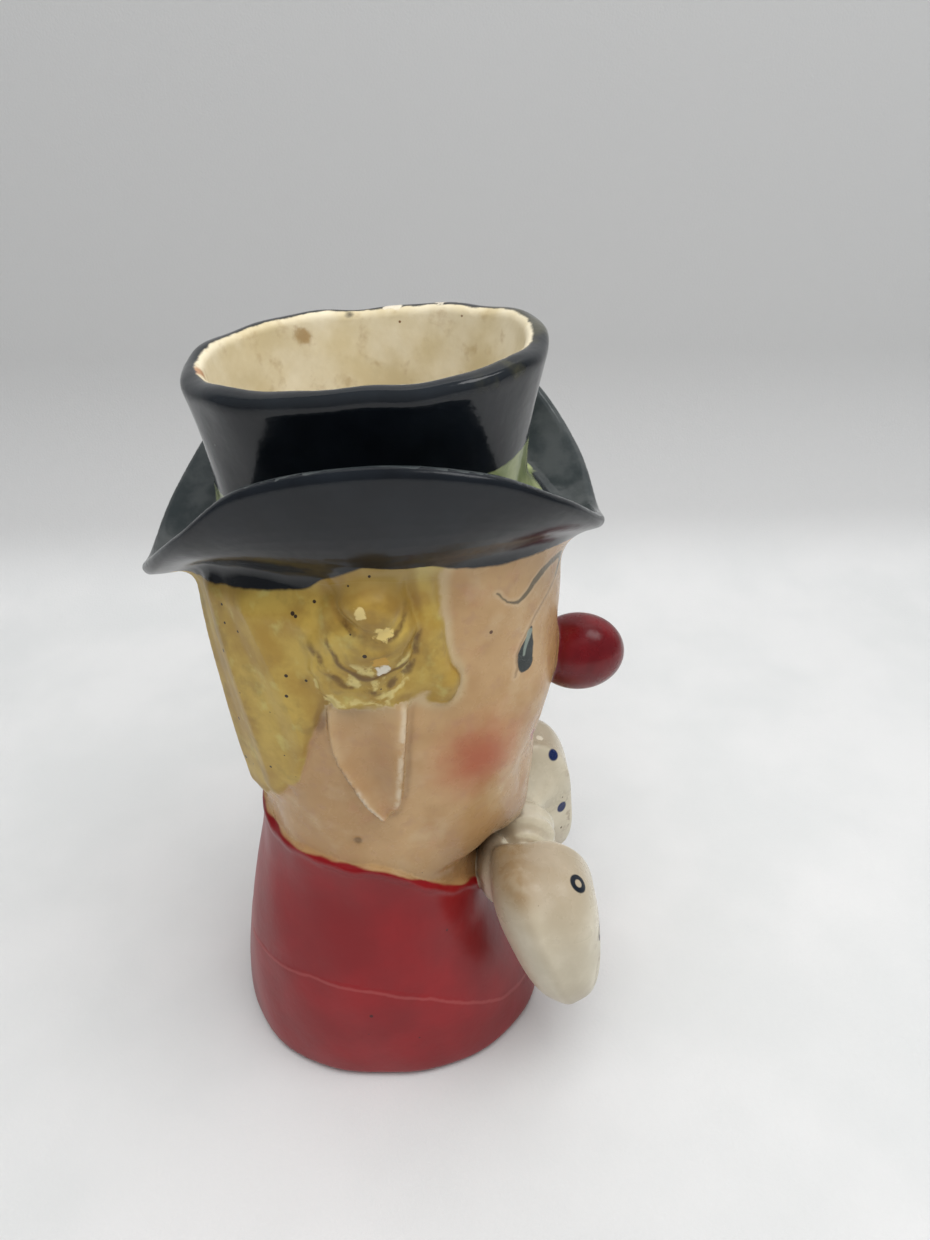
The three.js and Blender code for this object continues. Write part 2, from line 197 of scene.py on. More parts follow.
def relief(turn, height):
    """Everything carved on the plain body, as millimetres of radius."""
    below = along(COLLAR_TOP, turn) - height + 0.35 * np.sin(turn * 0.16) + 0.2 * np.sin(turn * 0.41)
    collar = COLLAR_THICK * smoothstep(below, -0.6, 0.6) + COLLAR_ROLL * np.exp(-(((below - 1.1) / 1.0) ** 2))
    line = (height - along(SHOULDER_LINE, turn)) / 0.8
    shoulder = SHOULDER_RISE * (smoothstep(line, 1.2, -0.2) - 0.5 * smoothstep(line, 0.5, -14))
    under_hat = 1 - smoothstep(height, 113, 120)
    combed = turn + STRAND_SLANT * (110 - height)
    wander = 14 * np.sin(height * 0.075 + 0.8) + 9 * np.sin(height * 0.031 + turn * 0.05)
    wave = np.cos(2 * math.pi * (combed + 0.35 * wander) / (2 * STRAND_APART))
    fine = np.cos(2 * math.pi * (combed * 1.02 + 0.5 * wander) / (0.42 * STRAND_APART))
    strands = STRAND_DEPTH * (1 - 2 * np.abs(wave) ** 1.2) + 0.04 * fine
    grown = smoothstep(hair_mask(turn, height), -2.4, 3.2)
    hair = (HAIR_THICK + strands) * grown * under_hat
    crease = smile_crease(turn, height)
    from_dimple = ((turn - DIMPLE[0]) * 0.45) ** 2 + (height - DIMPLE[1]) ** 2
    dimple = DIMPLE[3] * np.exp(-from_dimple / DIMPLE[2] ** 2)
    lumps = 0.12 * np.sin(turn * 0.11 + height * 0.13) + 0.09 * np.sin(turn * 0.23 - height * 0.21 + 2)
    fuller = bump(turn, height, CHEEK) + bump(turn, height, MUZZLE)
    return collar + shoulder + hair + fuller - dimple - crease + lumps


def smile_crease(turn, height):
    """The groove of the mouth and the fold beside it."""
    mouth = height - (70.0 + 5.5 * (np.clip(turn, 0, 24) / 20) ** 2)
    groove = 0.4 * np.exp(-((mouth / 1.1) ** 2)) * smoothstep(turn, 24, 18)
    fold = (turn - (25 - 0.012 * (height - 72) ** 2)) * 0.56
    side = 0.3 * np.exp(-((fold / 1.6) ** 2)) * smoothstep(np.abs(height - 73), 12, 5)
    return groove + side


def body_field(x, y, z):
    forward = -y
    level = level_of(z, forward)
    angle = np.arctan2(x, forward)
    turn = np.degrees(np.abs(angle))
    reach = np.hypot(x, y)
    out = reach - level_radius(SHELL, angle, level) - relief(turn, level)
    wave = 0.3 * np.sin(3 * angle + 0.6) + 0.18 * np.sin(7 * angle) + 0.1 * np.sin(13 * angle + 2)
    lip = meet(out, level - RIM_HEIGHT - wave, LIP_ROUND)
    lumps = 0.3 * np.sin(4 * angle + 0.05 * level) * np.sin(level * 0.11)
    lumps = lumps + 0.12 * np.sin(9 * angle - level * 0.2)
    hollow = reach - level_radius(HOLLOW, angle, level, JAW_HOLLOW_RISE) + lumps
    return meet(lip, -z, FOOT_ROUND), hollow, level


def brim_tables():
    """The brim's bent section at each angle round the hat: root, fold and end, as reach and height."""
    t = np.linspace(-math.pi, math.pi, 1441)
    c, s = np.cos(t), np.sin(t)
    square = np.where(c > 0, BRIM_FRONT_SQUARE, BRIM_BACK_SQUARE)
    forward = BRIM_MIDDLE + BRIM_LENGTH * c
    side = BRIM_WIDTH * np.sign(s) * np.abs(s) ** square
    angle = np.arctan2(side, forward)
    height = along(BRIM_EDGE, np.degrees(np.abs(angle))) + BRIM_ROLL * side
    reach = np.hypot(forward, side)
    s = np.abs(s)
    root_reach = level_radius(SHELL, angle, np.full(len(t), 124.0)) * BRIM_ROOT_SHARE
    root_height = np.where(c > 0, BRIM_ROOT_FRONT, BRIM_ROOT_BACK) * (1 - s) + BRIM_ROOT_SIDE * s
    inward = 0.06 + 0.3 * c**2
    fold_reach = reach * (1 - inward) + root_reach * inward
    fold_height = (height - BRIM_FOLD_DROP) * (1 - s) + BRIM_FOLD_SIDE * s
    back_x, back_y = fold_reach - reach, fold_height - height
    scale = BRIM_HALF_THICK / np.hypot(back_x, back_y)
    end_reach, end_height = reach + back_x * scale, height + back_y * scale
    return angle, (root_reach, root_height, fold_reach, fold_height, end_reach, end_height)


BRIM_ANGLES, BRIM_ROWS = brim_tables()


def brim_field(x, y, z, pieces=14):
    """Distance to the brim, and the side of its middle that a place is on: positive is the upper side."""
    angle, reach = np.arctan2(x, -y), np.hypot(x, y)
    ax, ay, bx, by, cx, cy = (np.interp(angle, BRIM_ANGLES, row, period=2 * math.pi) for row in BRIM_ROWS)
    near = np.full(reach.shape, 1e6)
    above = np.zeros(reach.shape)
    px, py = ax, ay
    for i in range(1, pieces + 1):
        t = i / pieces
        qx = (1 - t) ** 2 * ax + 2 * t * (1 - t) * bx + t * t * cx
        qy = (1 - t) ** 2 * ay + 2 * t * (1 - t) * by + t * t * cy
        dx, dy = qx - px, qy - py
        k = np.clip(((reach - px) * dx + (z - py) * dy) / (dx * dx + dy * dy), 0, 1)
        d = np.hypot(reach - px - k * dx, z - py - k * dy)
        closer = d < near
        near = np.where(closer, d, near)
        above = np.where(closer, (dx * (z - py) - dy * (reach - px)), above)
        px, py = qx, qy
    return near - BRIM_HALF_THICK, np.sign(above)


def ball_field(x, y, z, ball, mirrored=False):
    forward, height, side, (half_side, half_forward, half_height) = ball
    sx = (np.abs(x) if mirrored else x) - side
    u, v, w = sx / half_side, (-y - forward) / half_forward, (z - height) / half_height
    size = np.sqrt(u * u + v * v + w * w) + 1e-9
    steep = np.sqrt((u / half_side) ** 2 + (v / half_forward) ** 2 + (w / half_height) ** 2) + 1e-9
    return size * (size - 1) / steep


def loop_field(x, y, z):
    """Both bow loops, with pleats by the knot and a soft ridge on the blunt end."""
    share = (np.abs(x) - BOW_START) / (BOW_END - BOW_START)
    grow = smoothstep(share, BOW_NARROW, BOW_FULL)
    forward, height, tall, thick = (a + (b - a) * grow for a, b in zip(BOW_INNER, BOW_OUTER))
    up = z - height
    top = np.clip(up / tall, -1, 1)
    out = (-y - forward + up * BOW_LEAN) / (1 + BOW_TAPER * top)
    past = np.clip((share - 1 + BOW_BLUNT) / BOW_BLUNT, 0, None)
    n, m = BOW_SQUARENESS, BOW_END_SQUARENESS
    slice_size = (np.abs(up / tall) ** n + np.abs(out / thick) ** n) ** (1 / n)
    size = (slice_size**m + past**m) ** (1 / m)
    turn = np.arctan2(up / tall, out / thick)
    pleat = 0.5 * np.cos(7 * turn + 0.6) * smoothstep(share, 0.5, 0.2)
    ridge = 0.5 * np.exp(-(((out + 0.1 * up + 1.5) / 2.4) ** 2)) * smoothstep(share, 0.45, 0.7)
    field = (size - 1) * np.minimum(thick, 10) + pleat - ridge
    return meet(field, BOW_START - np.abs(x), 2.0)


def knot_field(x, y, z):
    ball = ball_field(x, y, z, KNOT)
    turn = np.arctan2(z - KNOT[1], x)
    pleats = 0.32 * np.cos(x * 1.9 + 0.25 * (z - KNOT[1])) * smoothstep(np.abs(np.sin(turn)), 0.15, 0.6)
    back = ball_field(x, y, z, BOW_BACK, mirrored=True)
    return join(ball + pleats, back, 2.0)


def ear_field(x, y, z):
    """An ear: a raised front edge, a hollow behind it and a lower back edge."""
    forward, out = -y, np.abs(x)
    back, front, ridge = (along(EAR, z, k) for k in (1, 2, 3))
    share = np.clip((forward - back) / (front - back + 1e-6), 0, 1)
    scoop = EAR_HOLLOW * np.sin(math.pi * np.clip(share * 1.12, 0, 1)) ** 1.2
    reach = EAR_BACK + (ridge - EAR_BACK) * smoothstep(share, 0.25, 0.86) - scoop * smoothstep(z, 72, 82)
    face = out - reach
    sides = meet(back - forward, forward - front, 1.0)
    ends = meet(EAR[0, 0] - 0.4 - z, z - EAR[-1, 0], 1.0)
    return meet(meet(face, sides, EAR_RIDGE), meet(ends, 22 - out, 1.0), 1.2)


def ear_margin(forward, z):
    """How far inside the ear's outline a place on the side of the head is."""
    return np.minimum(np.minimum(forward - along(EAR, z, 1), along(EAR, z, 2) - forward), z - EAR[0, 0])


def drop_sizes(forward, z):
    """How far out each drop reaches at a place on the side of the head: 1 on its edge, 0 in its middle."""
    uneven = 0.035 * np.sin(0.8 * forward + 0.35 * z) + 0.03 * np.sin(1.3 * z - 0.6 * forward)
    sizes = []
    for i, (a, h, w, t, _) in enumerate(DROPS):
        lean = 0.12 * (z - h) * (1 if i % 2 else -0.5)
        size = np.hypot((forward - a + lean) / w, (z - h) / np.where(z > h, t * DROP_TOP, t)) + uneven
        sizes.append(np.maximum(size, 0.0))
    return sizes


def curl_field(x, y, z):
    """The side locks: nested drops with strands along their bottoms, and the hooked strand before them."""
    forward, side = -y, np.abs(x)
    field = None
    for drop, size in zip(DROPS, drop_sizes(forward, z)):
        half = drop[4] - DROP_ROOT
        wave = 0.13 * np.cos(2 * math.pi * size * drop[2] / DROP_WAVE)
        wave = wave * smoothstep(z, drop[1] + 1, drop[1] - 4)
        out = (side - DROP_ROOT) / half
        n = DROP_SQUARENESS
        whole_size = (size**n + np.abs(out) ** n) ** (1 / n) + 1e-9
        steep = whole_size ** (1 - n) * np.hypot(
            (size + 1e-9) ** (n - 1) / np.sqrt(drop[2] * drop[3]), np.abs(out) ** (n - 1) / half)
        ball = (whole_size - 1) / np.maximum(steep, 0.02) + wave
        field = ball if field is None else join(field, ball, 0.5)
    hook = None
    for (fa, ha, sa, ra), (fb, hb, sb, rb) in zip(HOOK, HOOK[1:]):
        run = np.array([fb - fa, hb - ha, sb - sa])
        share = ((forward - fa) * run[0] + (z - ha) * run[1] + (side - sa) * run[2]) / (run @ run)
        share = np.clip(share, 0, 1)
        d = np.sqrt((forward - fa - share * run[0]) ** 2 + (z - ha - share * run[1]) ** 2
                    + ((side - sa - share * run[2]) * 1.4) ** 2)
        strand = d - (ra + (rb - ra) * share)
        hook = strand if hook is None else join(hook, strand, 0.8)
    return join(field, hook, 0.5)


def parts(x, y, z):
    body, hollow, level = body_field(x, y, z)
    brim, above = brim_field(x, y, z)
    return {
        "body": body, "hollow": hollow, "level": level, "brim": brim, "above": above,
        "nose": ball_field(x, y, z, NOSE), "loops": loop_field(x, y, z), "knot": knot_field(x, y, z),
        "ear": ear_field(x, y, z), "curl": curl_field(x, y, z),
    }


def whole(x, y, z):
    """The signed distance of the whole vase, negative inside the ware."""
    p = parts(x, y, z)
    head = join(join(p["body"], p["ear"], EAR_FILLET), p["curl"], LOCK_FILLET)
    to_back = smoothstep(np.degrees(np.arctan2(np.abs(x), -y)), *BRIM_FILLET_TURNS)
    under = BRIM_FILLET + (BRIM_FILLET_BACK - BRIM_FILLET) * to_back
    hat = join(head, p["brim"], np.where(p["above"] > 0, TROUGH_FILLET, under))
    bow = join(p["loops"], p["knot"], KNOT_FILLET)
    solid = join(join(hat, p["nose"], NOSE_FILLET), bow, KNOT_FILLET)
    inside = meet(p["hollow"], FLOOR_HEIGHT - z, FLOOR_ROUND)
    return meet(solid, -inside, LIP_FILLET)


def drop_tip(forward, z):
    """Where the bottoms of the drops bulge, from 0 to 1."""
    tip = np.zeros(z.shape)
    for drop, size in zip(DROPS, drop_sizes(forward, z)):
        tip = np.where(size < 1, smoothstep(size, 0.55, 0.86) * smoothstep(z, drop[1] - 2, drop[1] - 7), tip)
    return tip


def drop_edge_shade(forward, z):
    """Where one drop ends over the next, from 0 to 1: where shade is painted under each drop's edge."""
    drop_shade = np.zeros(z.shape)
    for drop, size in zip(DROPS[1:], drop_sizes(forward, z)[1:]):
        edge = np.exp(-(((size - 1.05) * drop[2] / 0.7) ** 2)) * smoothstep(z, drop[1] + 3, drop[1] - 3)
        drop_shade = np.maximum(np.where(size < 0.97, 0, drop_shade), edge)
    return drop_shade


def in_slabs(function, points, size=400_000):
    out = [function(*points[i:i + size].T) for i in range(0, len(points), size)]
    return np.concatenate(out)


def gradient(points, h=0.12):
    columns = []
    for axis in range(3):
        step = np.zeros(3)
        step[axis] = h
        columns.append((in_slabs(whole, points + step) - in_slabs(whole, points - step)) / (2 * h))
    return np.column_stack(columns)


def settle(points, rounds):
    """Moves points on to the surface along its gradient."""
    for _ in range(rounds):
        slope = gradient(points)
        steep = np.maximum((slope**2).sum(1), 0.05)
        move = -(in_slabs(whole, points) / steep)[:, None] * slope
        length = np.linalg.norm(move, axis=1, keepdims=True)
        points = points + move * np.minimum(1, 0.4 / np.maximum(length, 1e-9))
    return points


def surface_net(values, origin, step):
    """Quads on the surface between the grid's negative and positive values, one vertex to a cell."""
    inside = values < 0
    count = np.zeros([n - 1 for n in values.shape], np.int8)
    corners = [(i, j, k) for i in (0, 1) for j in (0, 1) for k in (0, 1)]
    nx, ny, nz = count.shape
    for i, j, k in corners:
        count += inside[i:i + nx, j:j + ny, k:k + nz]
    cells = np.argwhere((count > 0) & (count < 8))
    index = np.full(count.shape, -1, np.int32)
    index[tuple(cells.T)] = np.arange(len(cells))
    place = np.zeros((len(cells), 3))
    crossings = np.zeros(len(cells))
    for a in corners:
        for axis in range(3):
            if a[axis]:
                continue
            b = tuple(1 if n == axis else a[n] for n in range(3))
            va = values[tuple((cells + a).T)]
            vb = values[tuple((cells + b).T)]
            cut = (va < 0) != (vb < 0)
            share = va[cut] / (va[cut] - vb[cut])
            at = cells[cut] + np.array(a, float)
            at[:, axis] += share
            place[cut] += at
            crossings[cut] += 1
    place /= crossings[:, None]
    quads = []
    for axis in range(3):
        u, v = (axis + 1) % 3, (axis + 2) % 3
        first = np.take(inside, range(values.shape[axis] - 1), axis)
        second = np.take(inside, range(1, values.shape[axis]), axis)
        nodes = np.argwhere(first != second)
        starts_inside = first[tuple(nodes.T)]
        loop = []
        for du, dv in ((0, 0), (-1, 0), (-1, -1), (0, -1)):
            cell = nodes.copy()
            cell[:, u] += du
            cell[:, v] += dv
            loop.append(index[tuple(cell.T)])
        quad = np.column_stack(loop)
        quad[~starts_inside] = quad[~starts_inside][:, ::-1]
        quads.append(quad)
    return place * step + origin, np.concatenate(quads)


def field_grid():
    low = np.array(cad_low) / MM - 2.5 * GRID_STEP
    high = np.array(cad_high) / MM + 2.5 * GRID_STEP
    axes = [np.arange(low[i], high[i] + GRID_STEP, GRID_STEP) for i in range(3)]
    values = np.empty([len(a) for a in axes], np.float32)
    y, z = np.meshgrid(axes[1], axes[2], indexing="ij")
    for i, x in enumerate(axes[0]):
        values[i] = whole(np.full(y.shape, x), y, z)
    return values, low


def new_mesh(name, points, faces):
    mesh = bpy.data.meshes.new(name)
    mesh.vertices.add(len(points))
    mesh.vertices.foreach_set("co", points.astype(np.float32).ravel())
    mesh.loops.add(faces.size)
    mesh.loops.foreach_set("vertex_index", faces.astype(np.int32).ravel())
    mesh.polygons.add(len(faces))
    mesh.polygons.foreach_set("loop_start", np.arange(0, faces.size, faces.shape[1], dtype=np.int32))
    mesh.update(calc_edges=True)
    mesh.validate()
    return mesh


def reduced(mesh, most):
    """The mesh with its flat places thinned out until it has at most so many triangles."""
    triangles = sum(p.loop_total - 2 for p in mesh.polygons)
    ob = bpy.data.objects.new("reduce", mesh)
    bpy.context.collection.objects.link(ob)
    thin = ob.modifiers.new("thin", "DECIMATE")
    thin.ratio = min(1.0, most / triangles)
    made = bpy.data.meshes.new_from_object(ob.evaluated_get(bpy.context.evaluated_depsgraph_get()))
    bpy.data.objects.remove(ob)
    return made


def coordinates(mesh):
    co = np.empty(len(mesh.vertices) * 3, np.float32)
    mesh.vertices.foreach_get("co", co)
    return co.reshape(-1, 3).astype(float)


def paint_maps(points, normals):
    """For each vertex, how far in millimetres it is inside each painted region. Outside is negative."""
    x, y, z = points.T
    # hollowed is how deep a place lies in a hollow, for painted shade; exposed is how sharp an edge is, for
    # painted highlights and wear.
    hollowed = HOLLOW_PROBE - in_slabs(whole, points + HOLLOW_PROBE * normals)
    exposed = EDGE_PROBE + in_slabs(whole, points - EDGE_PROBE * normals)
    p = parts(x, y, z)
    turn = np.degrees(np.abs(np.arctan2(x, -y)))
    level = p["level"]
    head = np.minimum(p["body"], np.minimum(p["ear"], p["curl"]))
    bow = np.minimum(p["loops"], p["knot"])
    on_bow = np.minimum(head, p["brim"]) - bow
    on_nose = head - p["nose"]
    on_brim = head - p["brim"]
    hat = np.maximum(z - along(HAT_LINE, turn), on_brim - 4.5)
    crown = np.minimum(p["brim"] - p["body"], np.where(p["above"] > 0, 3.0, -3.0))
    band = np.minimum(np.minimum(along(BAND_TOP, turn) - level, crown + 1.5), level - 121)
    lock = np.minimum(p["body"], p["ear"]) - p["curl"]
    hair = np.maximum(hair_mask(turn, level) - 0.6, np.minimum(lock + 0.5, 3.0))
    hair = np.where((p["ear"] < p["body"] - 0.2) & (p["ear"] < p["curl"]), -1.5, hair)
    collar = along(COLLAR_TOP, turn) - level
    inner = np.minimum(0.9 - p["hollow"], 3.0)
    own_ear = (p["ear"] < p["body"] + 0.1) & (p["ear"] < p["curl"])
    return {
        "hat": hat, "band": band, "hair": hair, "collar": collar, "bow": on_bow, "nose": on_nose,
        "inner": inner, "lock": lock, "hollowed": hollowed, "exposed": exposed,
        "trough": np.where(p["above"] > 0, on_brim, -2.0), "under": np.where(p["above"] < 0, on_brim, -2.0),
        "lip": 3.2 - np.abs(level - RIM_HEIGHT), "ear": np.where(own_ear, ear_margin(-y, z), -1.0),
        "tip": drop_tip(-y, z), "drop_shade": drop_edge_shade(-y, z),
    }


def build_vase():
    values, low = field_grid()
    points, quads = surface_net(values, low, GRID_STEP)
    points = settle(points, 2)
    mesh = reduced(new_mesh("rough", points, quads), MOST_TRIANGLES)
    points = settle(coordinates(mesh), 2)
    mesh.vertices.foreach_set("co", (points * MM).astype(np.float32).ravel())
    normals = gradient(points)
    normals /= np.linalg.norm(normals, axis=1, keepdims=True)
    mesh.polygons.foreach_set("use_smooth", np.ones(len(mesh.polygons), bool))
    mesh.normals_split_custom_set_from_vertices(normals.astype(np.float32))
    for name, values in paint_maps(points, normals).items():
        layer = mesh.attributes.new(name, "FLOAT", "POINT")
        layer.data.foreach_set("value", values.astype(np.float32))
    mesh.name = "clown_vase"
    mesh.update()
    ob = bpy.data.objects.new("clown_vase", mesh)
    bpy.context.collection.objects.link(ob)
    return ob


def colour(code):
    """A hex colour as linear red, green and blue."""
    parts = [int(code[i:i + 2], 16) / 255 for i in (0, 2, 4)]
    return tuple(c / 12.92 if c <= 0.04045 else ((c + 0.055) / 1.055) ** 2.4 for c in parts) + (1,)


class Paint:
    """One material, built node by node. Lengths are millimetres."""

    def __init__(self, name):
        self.material = bpy.data.materials.new(name)
        self.material.use_nodes = True
        self.tree = self.material.node_tree
        self.tree.nodes.clear()
        place = self.node("TexCoord").outputs["Object"]
        self.place = self.node("VectorMath", operation="SCALE", links={0: place, "Scale": 1 / MM}).outputs[0]

    def node(self, kind, links=None, **settings):
        node = self.tree.nodes.new("ShaderNode" + kind)
        for key, value in settings.items():
            setattr(node, key, value)
        for key, value in (links or {}).items():
            if isinstance(value, bpy.types.NodeSocket):
                self.tree.links.new(value, node.inputs[key])
            else:
                node.inputs[key].default_value = value
        return node

    def math(self, operation, *values, clamp=False):
        return self.node("Math", dict(enumerate(values)), operation=operation, use_clamp=clamp).outputs[0]

    def vector(self, operation, *values):
        return self.node("VectorMath", dict(enumerate(values)), operation=operation)

    def ramp(self, value, low, high, start=0.0, end=1.0):
        links = {"Value": value, "From Min": low, "From Max": high, "To Min": start, "To Max": end}
        if low > high:
            links.update({"From Min": high, "From Max": low, "To Min": end, "To Max": start})
        return self.node("MapRange", links, interpolation_type="SMOOTHSTEP").outputs[0]

    def product(self, *factors):
        out = factors[0]
        for factor in factors[1:]:
            out = self.math("MULTIPLY", out, factor)
        return out

    def far(self, place, spot):
        """Distance of a place from a spot."""
        return self.vector("DISTANCE", place, tuple(spot)).outputs["Value"]

    def mix(self, share, a, b):
        """From colour a to colour b. Either can be a hex code."""
        a, b = (colour(c) if isinstance(c, str) else c for c in (a, b))
        return self.node("Mix", {0: share, 6: a, 7: b}, data_type="RGBA").outputs[2]

    def number(self, share, a, b):
        return self.node("Mix", {0: share, 2: a, 3: b}, data_type="FLOAT").outputs[0]

    def shifted(self, step):
        return self.vector("MULTIPLY_ADD", self.place, (1, 1, 1), step).outputs[0]

    def noise(self, size, detail=3.0, shift=0.0):
        place = self.shifted((shift, shift * 1.7, -shift)) if shift else self.place
        links = {"Vector": place, "Scale": 1 / size, "Detail": detail, "Roughness": 0.55}
        return self.node("TexNoise", links).outputs["Fac"]

    def mottle(self, size, detail=3.0, low=0.35, high=0.7, start=0.0, end=1.0, shift=0.0):
        """A soft mask of random blotches of a size."""
        return self.ramp(self.noise(size, detail, shift), low, high, start, end)

    def specks(self, apart, size, share, shift):
        """Small round spots: a share of the cells of a grid so far apart has one."""
        place = self.shifted((shift, -shift, shift * 0.6))
        cells = self.node("TexVoronoi", {"Vector": place, "Scale": 1 / apart, "Randomness": 1.0})
        chance = self.node("SeparateColor", {0: cells.outputs["Color"]}).outputs
        wanted = self.math("LESS_THAN", chance[0], share)
        radius = self.math("MULTIPLY_ADD", chance[1], size / apart * 0.7, size / apart * 0.3)
        near = self.math("SUBTRACT", radius, cells.outputs["Distance"])
        return self.math("MULTIPLY", self.ramp(near, 0, 0.15 * size / apart), wanted)

    def inside(self, name, soft, wobble=0.0, size=3.0):
        """A mask of one of the painted regions, with a hand-painted edge."""
        value = self.value(name)
        if wobble:
            uneven = self.math("MULTIPLY_ADD", self.noise(size), 2 * wobble, -wobble)
            value = self.math("ADD", value, uneven)
        return self.ramp(value, -soft, soft)

    def value(self, name):
        return self.node("Attribute", attribute_name=name).outputs["Fac"]

    def line(self, place, points):
        """Distance from a polyline, where place and points share two coordinates."""
        near = None
        for (ax, ay), (bx, by) in zip(points, points[1:]):
            run = (bx - ax, by - ay, 0)
            length = run[0] ** 2 + run[1] ** 2
            start = self.vector("SUBTRACT", place, (ax, ay, 0)).outputs[0]
            along_it = self.vector("DOT_PRODUCT", start, run).outputs["Value"]
            share = self.math("DIVIDE", along_it, length, clamp=True)
            nearest = self.node("VectorMath", {0: run, "Scale": share}, operation="SCALE").outputs[0]
            d = self.vector("DISTANCE", start, nearest).outputs["Value"]
            near = d if near is None else self.math("MINIMUM", near, d)
        return near


# Painted features as angle from the front and height, laid out flat at the face's radius.
FACE_RADIUS = 30.0
HAND_SHAKE = 0.7
BLUSH, BLUSH_REACH = (53.0, 81.5), 13.5
BROW_THICK = (46, 30, 0.06, 0.6)  # from this angle to that one the half thickness grows from this to that
BROW = [(48.2, 115.3), (46.3, 114.0), (44.5, 113.0), (42.1, 112.3), (39.8, 112.0), (37.5, 112.4),
        (34.0, 113.4), (29.7, 114.8), (23.4, 115.8), (18.5, 115.6), (15.6, 114.6), (15.0, 113.2),
        (18.0, 111.8)]
LID = [(18.0, 111.8), (20.5, 110.8), (26.8, 108.9), (33.0, 106.6), (38.1, 103.2), (39.3, 101.3), (39.0, 98.5),
       (40.1, 96.7)]
EYE = [(33.8, 105.3), (35.6, 101.0), (35.5, 98.5)]
GLINT = [(34.3, 104.6), (36.6, 100.4)]
MOUTH = [(0, 70.0), (8, 70.9), (15, 73.0), (20, 75.5), (23, 77.6)]
# Dots and rings on the bow tie, as side, forward and height. The clown's left is positive.
DOTS = [(15.7, 38.3, 48.4), (13.3, 41.1, 34.2), (25, 43.5, 41), (30, 37, 27), (21, 41, 23)]
RINGS = [(-25.4, 38.1, 49.4), (-26.5, 43.3, 36.8), (-15, 41.5, 35), (-24, 41, 23)]
DOT_EDGE, RING_RADIUS, RING_EDGE = (1.65, 1.2), 1.4, (0.75, 0.4)
# Chips in the glaze and painted highlights on the hair locks, then stains inside: place likewise, then size
# and colour.
CHIPS_AND_HIGHLIGHTS = [
    (24.6, 4.7, 151.6, 2.3, "e8ddc6"), (24.0, 14.0, 152.2, 2.2, "e8ddc6"),
    (23.2, 17.5, 152.6, 1.6, "e8ddc6"), (18.6, 35.5, 51.0, 1.0, "e8ddc6"),
    # The next three are painted highlights on the drops of hair; the last is a chip.
    (-34.5, 2.7, 114.4, 1.5, "f2d684"), (-33.8, -0.6, 118.6, 1.1, "ecd28a"),
    (-33.7, 2.0, 108.4, 1.5, "d3a548"), (-33.6, 2.3, 106.6, 1.3, "efe6d2"),
]
STAINS = [
    (-5.4, -25.7, 147.8, 3.2, "a8642f"), (22.7, -3.2, 149.4, 1.3, "2a2420"), (20.5, -12, 146, 2.2, "a88858"),
    (22.5, 9, 141, 3.0, "b59a6c"), (21, 18, 143, 2.0, "8f6f45"), (19.5, -17, 142, 2.6, "b59a6c"),
]
GLAZE_IOR = 1.46

# The paper sweep in metres: where the floor ends, the bend's radius, and how far the paper goes each way.
FLOOR_END, SWEEP_RADIUS, SWEEP_STEPS = 0.155, 0.08, 12
PAPER_NEAR, PAPER_SIDE, PAPER_TOP = -1.6, 2.0, 1.4
# The camera in metres, degrees and pixels of the photograph's height.
CAMERA_PLACE, CAMERA_DOWN, CAMERA_ASIDE = (-0.1607, -0.0086, 0.1945), 31.5, 3
FOCAL_LENGTH, PHOTO_HEIGHT, SENSOR = 970, 1240, 36


def on_face(points):
    return [(FACE_RADIUS * math.radians(turn), height) for turn, height in points]


def on_surface(spots):
    """Spots given as side, forward and height, moved on to the mesh's surface."""
    points = settle(np.array([(side, -forward, height) for side, forward, height in spots], float), 8)
    return points * (1, -1, 1)


